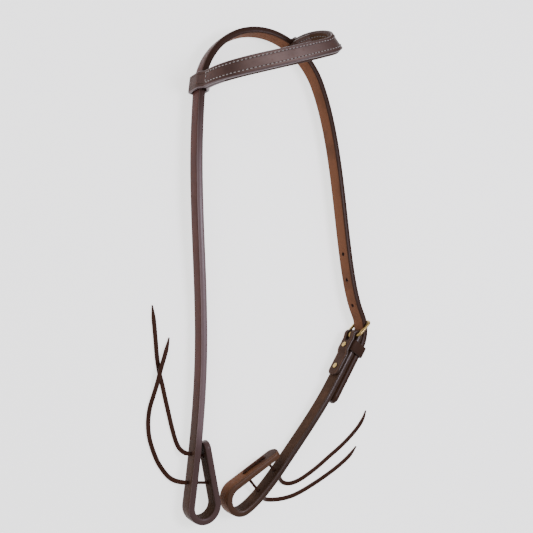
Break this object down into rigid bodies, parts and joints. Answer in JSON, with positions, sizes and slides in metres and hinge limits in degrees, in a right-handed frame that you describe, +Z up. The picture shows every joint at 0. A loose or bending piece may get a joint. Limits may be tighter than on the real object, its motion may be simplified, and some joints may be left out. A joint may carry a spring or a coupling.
{
  "type": "slide ear headstall",
  "caption": "Western bridle headstall: a leather strap loop with a stitched ear piece that slides over the crown, a buckled near cheek and laced bit loops.",
  "frame": {"origin": "middle of the headstall's footprint, free lace ends left out, on the surface that it lies on", "axes": "+X from the off cheek to the near cheek, +Y from the bit loops to the crown, +Z up across the strap's width"},
  "size_m": [0.2539, 0.471, 0.0907],
  "materials": {
    "strap_leather": "oiled, dark burgundy brown",
    "lining_leather": "smooth, mid brown",
    "lace_leather": "soft, dark brown",
    "thread": "waxed, pale grey",
    "brass": "polished"
  },
  "bodies": {
    "headstall": {"crown_strap": "strap_leather", "near_cheek": "strap_leather", "strap_keeper": "strap_leather", "screw_post_upper": "brass", "screw_upper": "brass", "screw_post_lower": "brass", "screw_lower": "brass", "off_lace": "lace_leather", "near_lace": "lace_leather", "off_lace_lower_end": "lace_leather", "off_lace_upper_end": "lace_leather", "near_lace_lower_end": "lace_leather", "near_lace_upper_end": "lace_leather"},
    "ear_piece": {"ear_face": "strap_leather", "ear_lining": "lining_leather", "ear_thread": "thread"},
    "buckle_frame": {"buckle_frame": "brass"},
    "buckle_tongue": {"buckle_tongue": "brass"}
  },
  "joints": [
    {"name": "ear_slide", "type": "hinge", "parent": "headstall", "child": "ear_piece", "pos_m": [-0.02473, 0.16079, 0], "axis": [0, 0, -1], "range_deg": [0, 26]},
    {"name": "buckle_swing", "type": "hinge", "parent": "headstall", "child": "buckle_frame", "pos_m": [0.08447, -0.06941, 0.0122], "axis": [0, 0, -1], "range_deg": [0, 3]},
    {"name": "tongue_swing", "type": "hinge", "parent": "buckle_frame", "child": "buckle_tongue", "pos_m": [0.08447, -0.06941, 0.0122], "axis": [0, 0, -1], "range_deg": [0, 2]}
  ]
}
